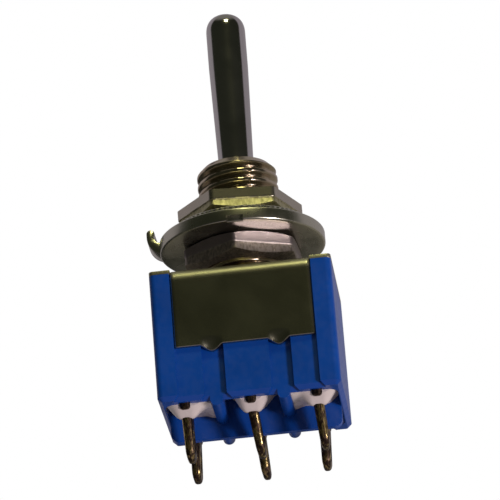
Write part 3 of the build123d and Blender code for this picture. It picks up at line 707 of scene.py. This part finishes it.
def ring_section(angle):
    """(radius, height) round the ring's section at an angle, from the bore outwards."""
    keyed = abs(angle - math.pi / 2) < KEY_HALF_ANGLE
    notched = abs(angle - 3 * math.pi / 2) < NOTCH_HALF_ANGLE
    bore = RING_KEY_R if keyed else RING_BORE_R
    foot = RING_R - (RING_NOTCH_DEPTH if notched else 0.0)
    section = [(bore, RING_Z + RING_CHAMFER), (bore + RING_CHAMFER, RING_Z), (RING_R - RING_FLAT, RING_Z)]
    section += arc((foot - RING_LOWER_ROLL, RING_Z + RING_LOWER_ROLL), RING_LOWER_ROLL, -90, 0, ROLL_STEPS)
    section += [(foot, RING_Z + RING_NOTCH_TOP), (RING_R, RING_Z + RING_NOTCH_TOP)]
    section += arc((RING_R - RING_UPPER_ROLL, RING_TOP - RING_UPPER_ROLL), RING_UPPER_ROLL, 0, 90, ROLL_STEPS)
    return section + [(bore + RING_CHAMFER, RING_TOP), (bore, RING_TOP - RING_CHAMFER)]


def tab_section():
    """The bent tab seen from the front, as (x, height) pairs."""
    bend = (TAB_X + RING_BEND_R, RING_Z + RING_BEND_R)
    section = [(-RING_R + TAB_ROOT, RING_Z + TAB_SUNK)] + arc(bend, RING_BEND_R, -90, -180, TAB_BEND_STEPS)
    section += arc((TAB_X + RING_TIP_R, TAB_TOP - RING_TIP_R), RING_TIP_R, 180, 0, TAB_TIP_STEPS)
    fillet = (-RING_R + TAB_FILLET_IN, RING_TOP + TAB_FILLET_UP)
    section += arc(fillet, TAB_FILLET_R, *TAB_FILLET_ARC, TAB_TIP_STEPS)
    return section + [(-RING_R + TAB_ROOT, RING_TOP - TAB_SUNK)]


def tab_mesh():
    """The tab's section drawn along y, pulled in a little at both ends."""
    section, points = tab_section(), []
    count = len(section)
    for share, inset in TAB_EDGES:
        for index, (x, height) in enumerate(section):
            before, after = section[index - 1], section[(index + 1) % count]
            along = Vector((after[0] - before[0], after[1] - before[1])).normalized()
            points.append((x + along.y * inset, share * RING_TAB_HALF_W, height - along.x * inset))
    faces = ring_faces(len(TAB_EDGES), count, close_rows=False)
    return points, faces + [tuple(range(count)), tuple(range(len(points) - count, len(points)))]


def make_ring():
    angles = ring_columns()
    sections = [ring_section(angle) for angle in angles]
    points = [around(radius, a, height) for row in zip(*sections) for a, (radius, height) in zip(angles, row)]
    faces = ring_faces(len(sections[0]), len(angles))
    append_part(points, faces, *tab_mesh())
    add_mesh("stamped_ring", points, faces, MATERIALS["ring_plate"], "locating_ring")


make_ring()

# ---- frame: folded sheet with crimps pressed into the grooves --------------
LEG_HALF_W = 5.0
LEG_FOOT = -6.0
LEG_PLAY = 0.012  # keeps the dents inside the solid's box
LEG_DENT = 0.006
LEG_DENT_CELLS = 0.7  # dents for each mm
LEG_DENT_APART = 5.0  # makes the two legs' dents unlike
LEG_FOOT_ROLL = 0.04
LEG_COLUMNS = 120
LEG_ROWS = 40
LEG_ROOT = ((0.35, -0.01), (0.25, 0.002))  # where a leg's skin runs into the plate: in, up
FOLD_R = 0.75
FOLD_STEPS = 12
PLATE_HALF_D = 5.05
PLATE_CORNER_R = 0.3
PLATE_EDGE = 0.05
EDGE_RESOLUTION = 2  # of the rolled edges of the flat plates
PLATE_LAP = 0.05
PLATE_NOTCH = 0.02
CRIMP_X = 2.4
CRIMP_HALF_W = 0.8
CRIMP_FULLNESS = 0.7  # under 1 makes the crimp's middle broader
CRIMP_START = -5.45
CRIMP_DROP = 0.37
CRIMP_PUSH = 0.34
EDGE_DROP = 0.09
EDGE_BAND = 0.22
_, frame_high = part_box("frame")
FRAME_HALF_W = frame_high.x / MM
FRAME_HALF_D = frame_high.y / MM


def crimp_share(x, height):
    """1 in the middle of a crimp at the leg's foot, 0 away from it."""
    across = smooth(1 - abs(abs(x) - CRIMP_X) / CRIMP_HALF_W) ** CRIMP_FULLNESS
    return across * smooth((CRIMP_START - height) / (CRIMP_START - LEG_FOOT))


def fold_path(inset):
    """Section of a leg at a depth under the outer face: plate, fold, leg."""
    centre = (FRAME_HALF_D - FOLD_R, -FOLD_R)
    path = [(centre[0] - back, up - inset) for back, up in LEG_ROOT]
    path += arc(centre, FOLD_R - inset, 90, 0, FOLD_STEPS)
    outer = inset == 0
    foot = LEG_FOOT + (LEG_FOOT_ROLL if outer else 0.0)
    steps = range(1, LEG_ROWS + 1)
    path += [(FRAME_HALF_D - inset, -FOLD_R + (foot + FOLD_R) * step / LEG_ROWS) for step in steps]
    return path + [(FRAME_HALF_D - (LEG_FOOT_ROLL if outer else inset), LEG_FOOT)]


def leg_mesh(side):
    """One leg as a thick sheet: outer face, inner face and the cut edge."""
    points, rows = [], 0
    for inset in (0.0, SHEET):
        path = fold_path(inset)
        rows = len(path)
        for out, height in path:
            for step in range(LEG_COLUMNS + 1):
                x = LEG_HALF_W * (2 * step / LEG_COLUMNS - 1)
                share = crimp_share(x, height)
                place = Vector((x * LEG_DENT_CELLS, height * LEG_DENT_CELLS, side * LEG_DENT_APART))
                dent = LEG_DENT * value_noise.noise(place)
                roll = EDGE_DROP * max(0.0, (abs(x) - LEG_HALF_W + EDGE_BAND) / EDGE_BAND) ** 2
                y = side * (out - CRIMP_PUSH * share - LEG_PLAY + dent - roll * (inset == 0))
                points.append((x, y, height - CRIMP_DROP * share))
    return points, sheet_faces(rows, LEG_COLUMNS + 1)


def plate_outline():
    """Plan of the frame's top: the legs' folds start inside its shoulders."""
    fold = FRAME_HALF_D - FOLD_R - PLATE_LAP
    corner = (FRAME_HALF_W - PLATE_CORNER_R, PLATE_HALF_D - PLATE_CORNER_R)
    quarter = arc(corner, PLATE_CORNER_R, 0, 90, ROLL_STEPS)
    quarter += [(LEG_HALF_W + PLATE_NOTCH, PLATE_HALF_D), (LEG_HALF_W + PLATE_NOTCH, fold)]
    half = quarter + [(-x, y) for x, y in quarter[::-1]]
    return half + [(-x, -y) for x, y in half]


def filled_plate(name, outlines, thickness, edge):
    """A flat plate with rolled edges, about the plane z = 0."""
    curve = bpy.data.curves.new(name + "_outline", "CURVE")
    curve.dimensions = "2D"
    curve.fill_mode = "BOTH"
    curve.extrude = (thickness / 2 - edge) * MM
    curve.bevel_depth = edge * MM
    curve.bevel_resolution = EDGE_RESOLUTION
    curve.offset = -edge * MM
    for outline in outlines:
        spline = curve.splines.new("POLY")
        spline.points.add(len(outline) - 1)
        for point, (u, v) in zip(spline.points, outline):
            point.co = (u * MM, v * MM, 0.0, 1.0)
        spline.use_cyclic_u = True
    holder = bpy.data.objects.new(name + "_outline", curve)
    mesh = bpy.data.meshes.new_from_object(holder)
    bpy.data.objects.remove(holder)
    bpy.data.curves.remove(curve)
    return mesh


def make_frame():
    hole = arc((0, 0), FRAME_HOLE_R, 0, 360, HOLE_STEPS)[:-1]
    plate = filled_plate("frame_top", [plate_outline(), hole], SHEET, PLATE_EDGE)
    points = [tuple((v.co / MM) - Vector((0, 0, SHEET / 2))) for v in plate.vertices]
    faces = [tuple(face.vertices) for face in plate.polygons]
    for side in ROWS.values():
        append_part(points, faces, *leg_mesh(side))
    add_mesh("folded_frame", points, faces, MATERIALS["frame_plate"], "frame")


make_frame()

# ---- solder lugs: stamped plates with rolled edges, slightly bent ---------
LUG_PITCH = 4.7
LUG_W = 1.9
ROW_Y = 2.55
LUG_TIP_R = 0.75
LUG_TIP_STEPS = 8
LUG_OUTER_STEPS = 9
LUG_INNER_STEPS = 14
EYE_STEPS = 12  # for each half turn
EYE_W = 0.8
EYE_H = 1.5
EYE_Z = -12.2
PRONG_W = 0.45
PRONG_END = -10.3
PRONG_CHAMFER_W = 0.08
PRONG_CHAMFER_H = 0.05
PRONG_ARM = (-8.75, -8.25)  # lower and upper edge of the arm that carries the prong
SHOULDER = (-7.0, -6.7)
SHOULDER_HALF_W = 1.25
YOKE_IN = 1.0
YOKE_OUT = 1.3
SADDLE_Z = -5.56
EDGE_ROLL = 0.24
BEND_FROM_Z = -10.4
LUG_TAPER = 0.16  # share of the thickness lost over LUG_TAPER_H
LUG_TAPER_H = 3.0
TIP_COIN = 0.3  # share of the thickness lost for each mm below TIP_COIN_FROM
TIP_COIN_FROM = 2.75
# How far each lug leans for each mm below its bend: towards +X, and out from the middle.
LUG_LEAN = {
    ("front", "left"): (0.015, -0.14),
    ("front", "common"): (0.11, -0.30),
    ("front", "right"): (0.07, -0.14),
    ("rear", "left"): (-0.015, 0.0),
    ("rear", "common"): (0.07, 0.20),
    ("rear", "right"): (-0.02, 0.0),
}


def lug_outline(node, common):
    """Outline of a terminal as (out from the middle, height) pairs."""
    low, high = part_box(node)
    tip, top = low.z / MM, high.z / MM
    out = max(abs(low.y), abs(high.y)) / MM
    prong_in = out - PRONG_W
    inner, outer = ROW_Y - LUG_W / 2, ROW_Y + LUG_W / 2
    corner = tip + LUG_TIP_R
    outline = arc((outer - LUG_TIP_R, corner), LUG_TIP_R, -90, 0, LUG_TIP_STEPS)
    steps = range(1, LUG_OUTER_STEPS + 1)
    outline += [(outer, corner + (PRONG_ARM[0] - corner) * step / LUG_OUTER_STEPS) for step in steps]
    outline += [(prong_in, PRONG_ARM[0]), (prong_in, PRONG_END + PRONG_CHAMFER_H)]
    outline += [(prong_in + PRONG_CHAMFER_W, PRONG_END), (out - PRONG_CHAMFER_W, PRONG_END)]
    outline += [(out, PRONG_END + PRONG_CHAMFER_H), (out, PRONG_ARM[1]), (outer, PRONG_ARM[1])]
    outline += [(outer, SHOULDER[0]), (ROW_Y + SHOULDER_HALF_W, SHOULDER[0])]
    outline.append((ROW_Y + SHOULDER_HALF_W, SHOULDER[1]))
    if common:
        yoke = [(YOKE_OUT, SHOULDER[1]), (YOKE_OUT, top), (YOKE_IN, top), (YOKE_IN, SADDLE_Z)]
        outline += [(ROW_Y + half, height) for half, height in yoke]
        outline += [(ROW_Y - half, height) for half, height in yoke[::-1]]
    outline += [(ROW_Y - SHOULDER_HALF_W, SHOULDER[1]), (ROW_Y - SHOULDER_HALF_W, SHOULDER[0])]
    steps = range(LUG_INNER_STEPS + 1)
    outline += [(inner, SHOULDER[0] + (corner - SHOULDER[0]) * step / LUG_INNER_STEPS) for step in steps]
    return outline + arc((inner + LUG_TIP_R, corner), LUG_TIP_R, 180, 270, LUG_TIP_STEPS)[1:]


def eye_outline():
    straight = (EYE_H - EYE_W) / 2
    upper = arc((ROW_Y, EYE_Z + straight), EYE_W / 2, 0, 180, EYE_STEPS)
    return upper + arc((ROW_Y, EYE_Z - straight), EYE_W / 2, 180, 360, EYE_STEPS)


def lug_mesh(name, outlines, side, x, thickness, lean):
    """A flat plate with rolled edges, stood in its row, slimmed and bent."""
    mesh = filled_plate(name, outlines, thickness, EDGE_ROLL)
    for vertex in mesh.vertices:
        out, height, across = vertex.co
        depth = max(0.0, BEND_FROM_Z - height / MM)
        slim = 1.0 - LUG_TAPER * min(1.0, depth / LUG_TAPER_H) - TIP_COIN * max(0.0, depth - TIP_COIN_FROM)
        vertex.co = (
            x * MM + across * slim + lean[0] * depth * MM,
            side * (out + lean[1] * depth * MM),
            height,
        )
    weld(mesh, drop_slivers=False)
    return mesh


def make_lug(row, column_name):
    node, name = f"terminal_{row}_{column_name}", f"lug_{row}_{column_name}"
    low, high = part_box(node)
    outlines = [lug_outline(node, COLUMNS[column_name] == 0), eye_outline()]
    middle, thickness = (low.x + high.x) / 2 / MM, (high.x - low.x) / MM
    mesh = lug_mesh(name, outlines, ROWS[row], middle, thickness, LUG_LEAN[row, column_name])
    place_piece(name, mesh, MATERIALS["lug_metal"], node, "base")


for row in ROWS:
    for column_name in COLUMNS:
        make_lug(row, column_name)

# ---- potting: cast pools that climb the lugs ------------------------------
POOL_LEVEL = -8.9  # sunk part of an outer pool
MIDDLE_LEVEL = -8.45  # sunk part of a middle pool
FLUSH_LEVEL = -9.82  # level with the foot of the case
MOUND_TOP = -10.8  # where the resin ends on a lug
MOUND_OVER = 0.05  # the climb aims this far short of the mound's top
WALL_Y = 4.07
LUG_FRONT = 3.3
LUG_HALF_T = 0.36
RIB_SIDE = 1.95
RIB_W = 0.9
RIB_CLIMB = 0.2
RIB_CLIMB_W = 0.8
BELL_FLAT = 0.45  # half width of the resin that stays level beside a lug
BELL_HALF_W = {-1: 1.25, 0: 1.4, 1: 1.25}
SINK_AT_WALL = {-1: 0.30, 0: 0.75, 1: 0.30}  # share of the sinking that the outer wall shows
SINK_IN = 3.2  # length over which the resin sinks towards the middle
SINK_BESIDE = 0.20
REAR_FLAT = 0.3
REAR_FALL = 0.9
CLIMB_IN = 0.55  # how fast the climb fades inwards from a lug's outer edge
CLIMB_OUT = 1.1
CLIMB_REACH = {-1: 0.76, 1: 0.5}
CLIMB_SHARE = {-1: 1.0, 1: 0.3}
RIPPLE = 0.015
RIPPLE_CELLS = 0.9
POOL_STEPS = 44
POOL_CORNER_R = 0.8


def pool_height(x, y, column, side):
    """Surface of the resin: level towards a rib, sunk at the case's sides, up the lug."""
    lug_x = column * LUG_PITCH
    out, across = side * y, abs(x - lug_x)
    open_side = column == 0 or (x - lug_x) * column > 0
    sink = smooth((across - BELL_FLAT) / BELL_HALF_W[column]) if open_side else 0.0
    inward = smooth((WALL_Y - out) / SINK_IN)
    at_wall = SINK_AT_WALL[column]
    depth = sink * (at_wall + (1 - at_wall) * inward) + SINK_BESIDE * inward * (1 - sink)
    if side > 0:
        depth = max(depth, smooth((across - REAR_FLAT) / REAR_FALL))
    sunk = POOL_LEVEL if column else MIDDLE_LEVEL
    level = FLUSH_LEVEL + (sunk - FLUSH_LEVEL) * depth
    along = (out - LUG_FRONT) * (CLIMB_IN if out < LUG_FRONT else CLIMB_OUT)
    away = math.hypot(max(0.0, across - LUG_HALF_T), along)
    climb = math.exp(-((away / CLIMB_REACH[side]) ** 2)) * CLIMB_SHARE[side]
    to_rib = abs(x) - RIB_SIDE - RIB_W
    meniscus = RIB_CLIMB * (1 - smooth(to_rib / RIB_CLIMB_W)) if column else 0.0
    ripple = RIPPLE * value_noise.noise(Vector((x * RIPPLE_CELLS, y * RIPPLE_CELLS, lug_x)))
    return level + (MOUND_TOP + MOUND_OVER - level) * climb - meniscus + ripple


def round_corner(x, y, corner_x, corner_y, column, side):
    """Pulls the grid in at the pool's corner that lies in the case's corner."""
    if column == 0:
        return x, y
    centre_x, centre_y = corner_x - column * POOL_CORNER_R, corner_y - side * POOL_CORNER_R
    dx, dy = (x - centre_x) * column, (y - centre_y) * side
    if dx <= 0 or dy <= 0:
        return x, y
    square, length = max(dx, dy), math.hypot(dx, dy)
    return centre_x + column * dx * square / length, centre_y + side * dy * square / length


def make_pool(row, column_name):
    """A pool between the pocket's floor and the resin's free surface."""
    side, column = ROWS[row], COLUMNS[column_name]
    node = f"potting_{row}_{column_name}"
    low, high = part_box(node)
    x0, x1, y0, y1 = low.x / MM, high.x / MM, low.y / MM, high.y / MM
    corner_x, corner_y = x1 if column > 0 else x0, y1 if side > 0 else y0
    points = []
    for is_floor in (False, True):
        for j in range(POOL_STEPS + 1):
            for i in range(POOL_STEPS + 1):
                x = x0 + (x1 - x0) * i / POOL_STEPS
                y = y0 + (y1 - y0) * j / POOL_STEPS
                x, y = round_corner(x, y, corner_x, corner_y, column, side)
                height = high.z / MM if is_floor else max(MOUND_TOP, pool_height(x, y, column, side))
                points.append((x, y, height))
    faces = sheet_faces(POOL_STEPS + 1, POOL_STEPS + 1)
    name = f"resin_{row}_{column_name}"
    add_mesh(name, points, faces, MATERIALS["potting_resin"], node)


for row in ROWS:
    for column_name in COLUMNS:
        make_pool(row, column_name)

# ---- case: the solid itself, with its edges broken ------------------------
CASE_EDGE = 0.06
CASE_EDGE_SEGMENTS = 2
FLAT_ANGLE = math.radians(0.5)
SHARP_ANGLE = math.radians(40)


def break_edges(node):
    """Merges a solid's flat facets and rounds its sharp edges."""
    piece = NODES[node]
    flatten = piece.modifiers.new("flatten", "DECIMATE")
    flatten.decimate_type = "DISSOLVE"
    flatten.angle_limit = FLAT_ANGLE
    edge = piece.modifiers.new("edge", "BEVEL")
    edge.width = CASE_EDGE * MM
    edge.segments = CASE_EDGE_SEGMENTS
    edge.limit_method = "ANGLE"
    edge.angle_limit = SHARP_ANGLE
    edge.harden_normals = True


break_edges("housing")

# ---- camera: below the object, nearly in front ------------------------------
CAMERA_AZIMUTH = math.radians(4.069)
CAMERA_ELEVATION = math.radians(-21.186)
CAMERA_ROLL = math.radians(-4.569)
CAMERA_DISTANCE = 293.87 * MM
CAMERA_CLIP = (0.01, 10.0)
SENSOR_MM = 36.0
IMAGE_PX = 500
FOCAL_PX = 4049.2
ORIGIN_PX = (245.99, 287.30)  # where the frame's origin lies in the picture


def direction(azimuth, elevation):
    """Unit vector. Azimuth runs from the front (-Y) towards +X."""
    flat = math.cos(elevation)
    return Vector((math.sin(azimuth) * flat, -math.cos(azimuth) * flat, math.sin(elevation)))


def make_camera():
    """Looks at the origin, rolled, then turned so that the origin lies at its place."""
    data = bpy.data.cameras.new("camera")
    camera = bpy.data.objects.new("camera", data)
    bpy.context.scene.collection.objects.link(camera)
    bpy.context.scene.camera = camera
    data.sensor_width = SENSOR_MM
    data.lens = FOCAL_PX / IMAGE_PX * SENSOR_MM
    data.clip_start, data.clip_end = CAMERA_CLIP
    out = direction(CAMERA_AZIMUTH, CAMERA_ELEVATION)
    level = (-out).cross(Vector((0, 0, 1))).normalized()
    rise = level.cross(-out)
    right = math.cos(CAMERA_ROLL) * level + math.sin(CAMERA_ROLL) * rise
    up = -math.sin(CAMERA_ROLL) * level + math.cos(CAMERA_ROLL) * rise
    aside = right * (IMAGE_PX / 2 - ORIGIN_PX[0]) / FOCAL_PX
    above = up * (ORIGIN_PX[1] - IMAGE_PX / 2) / FOCAL_PX
    forward = (-out + aside + above).normalized()
    right = (right - forward * right.dot(forward)).normalized()
    turn = Matrix((right, right.cross(forward), -forward)).transposed()
    camera.matrix_world = Matrix.Translation(out * CAMERA_DISTANCE) @ turn.to_4x4()


make_camera()

# ---- lamps ----------------------------------------------------------------
LAMP_DISTANCE = 0.40


def lamp(name, azimuth, elevation, size, radiance, colour):
    """A soft round lamp that faces the origin."""
    place = LAMP_DISTANCE * direction(math.radians(azimuth), math.radians(elevation))
    data = bpy.data.lights.new(name, "AREA")
    data.shape = "DISK"
    data.size = size
    data.energy = radiance * math.pi * math.pi * size**2 / 4
    data.color = colour
    lamp_object = bpy.data.objects.new(name, data)
    bpy.context.scene.collection.objects.link(lamp_object)
    lamp_object.location = place
    lamp_object.rotation_mode = "QUATERNION"
    lamp_object.rotation_quaternion = place.to_track_quat("Z", "Y")


lamp("lamp_right", 47, -19, 0.08, 80.0, (1.0, 0.88, 0.90))
lamp("lamp_top", 14, 52, 0.11, 14.0, (1.0, 0.97, 0.46))

# ---- world: a plain gradient, white to the camera, a dark room in shine -----
WHITE = (1.0, 1.0, 1.0)
AMBIENT_FRONT = (0.13, 0.13, 0.14)
AMBIENT_BACK = (0.70, 0.69, 0.68)
AMBIENT_BELOW = (0.62, 0.54, 0.58)
ROOM_FRONT = (0.022, 0.024, 0.016)
ROOM_BACK = (0.34, 0.31, 0.33)
ROOM_LOW_LEFT = (0.022, 0.022, 0.018)
ROOM_LOW_RIGHT = (0.23, 0.21, 0.18)
ROOM_OVERHEAD = (0.24, 0.23, 0.20)
ROOM_BELOW = (0.24, 0.20, 0.23)
# Parts of a unit direction between which the world's colours blend: Y, X, then Z.
AMBIENT_BAND = (-0.3, 0.8)
BACK_BAND = (-0.02, 0.12)
RIGHT_BAND = (-0.10, 0.10)
ABOVE_BAND = (-0.20, 0.0)
OVERHEAD_BAND = (0.75, 0.98)
BELOW_BAND = (-0.95, -0.70)


def room_colour(tree, split, below):
    """What shiny surfaces mirror: dark in front, grey behind, above and below."""
    to_back = remap(tree, split.outputs["Y"], *BACK_BAND, 0.0, 1.0)
    to_right = remap(tree, split.outputs["X"], *RIGHT_BAND, 0.0, 1.0)
    above = remap(tree, split.outputs["Z"], *ABOVE_BAND, 0.0, 1.0)
    overhead = remap(tree, split.outputs["Z"], *OVERHEAD_BAND, 0.0, 1.0)
    back = mix(tree, above, mix(tree, to_right, ROOM_LOW_LEFT, ROOM_LOW_RIGHT), ROOM_BACK)
    room = mix(tree, to_back, ROOM_FRONT, back)
    return mix(tree, below, mix(tree, overhead, room, ROOM_OVERHEAD), ROOM_BELOW)


def make_world():
    world = bpy.data.worlds.new("studio")
    bpy.context.scene.world = world
    world.use_nodes = True
    tree = world.node_tree
    place = tree.nodes.new("ShaderNodeTexCoord")
    split = tree.nodes.new("ShaderNodeSeparateXYZ")
    tree.links.new(place.outputs["Generated"], split.inputs["Vector"])
    below = remap(tree, split.outputs["Z"], *BELOW_BAND, 1.0, 0.0)
    from_back = remap(tree, split.outputs["Y"], *AMBIENT_BAND, 0.0, 1.0)
    ambient = mix(tree, below, mix(tree, from_back, AMBIENT_FRONT, AMBIENT_BACK), AMBIENT_BELOW)
    plain = tree.nodes["Background"]
    tree.links.new(ambient, plain.inputs["Color"])
    path = tree.nodes.new("ShaderNodeLightPath")
    seen = mix(tree, path.outputs["Is Camera Ray"], room_colour(tree, split, below), WHITE)
    backdrop = tree.nodes.new("ShaderNodeBackground")
    tree.links.new(seen, backdrop.inputs["Color"])
    shows = math_node(tree, "MAXIMUM", path.outputs["Is Camera Ray"], path.outputs["Is Glossy Ray"])
    shows = math_node(tree, "MAXIMUM", shows, path.outputs["Is Transmission Ray"])
    surface = mix_shaders(tree, shows, plain.outputs["Background"], backdrop.outputs["Background"])
    tree.links.new(surface, tree.nodes["World Output"].inputs["Surface"])


make_world()

# ---- floor: pale from above, open to a camera that looks up from below -----
FLOOR_HALF = 0.6
FLOOR_GAP = 0.02 * MM
FLOOR_COLOUR = (0.76, 0.77, 0.88)
FLOOR_ROUGHNESS = 0.9


def make_floor():
    """Shown to a camera above it. Clear from below, and to glossy, shadow and diffuse rays."""
    mesh = bpy.data.meshes.new("floor")
    ground = cad_low.z - FLOOR_GAP
    corners = [(-1, -1), (1, -1), (1, 1), (-1, 1)]
    mesh.from_pydata([(x * FLOOR_HALF, y * FLOOR_HALF, ground) for x, y in corners], [], [(0, 1, 2, 3)])
    material, tree, shader = new_material("floor_pale", 0.0)
    shader.inputs["Base Color"].default_value = (*FLOOR_COLOUR, 1)
    shader.inputs["Roughness"].default_value = FLOOR_ROUGHNESS
    clear = tree.nodes.new("ShaderNodeBsdfTransparent")
    path = tree.nodes.new("ShaderNodeLightPath")
    passes = tree.nodes.new("ShaderNodeNewGeometry").outputs["Backfacing"]
    for ray in ("Is Glossy Ray", "Is Shadow Ray", "Is Diffuse Ray"):
        passes = math_node(tree, "MAXIMUM", passes, path.outputs[ray])
    surface = mix_shaders(tree, passes, shader.outputs["BSDF"], clear.outputs["BSDF"])
    tree.links.new(surface, tree.nodes["Material Output"].inputs["Surface"])
    mesh.materials.append(material)
    floor = bpy.data.objects.new("floor", mesh)
    bpy.context.scene.collection.objects.link(floor)


make_floor()
bpy.context.scene.view_settings.view_transform = "Standard"
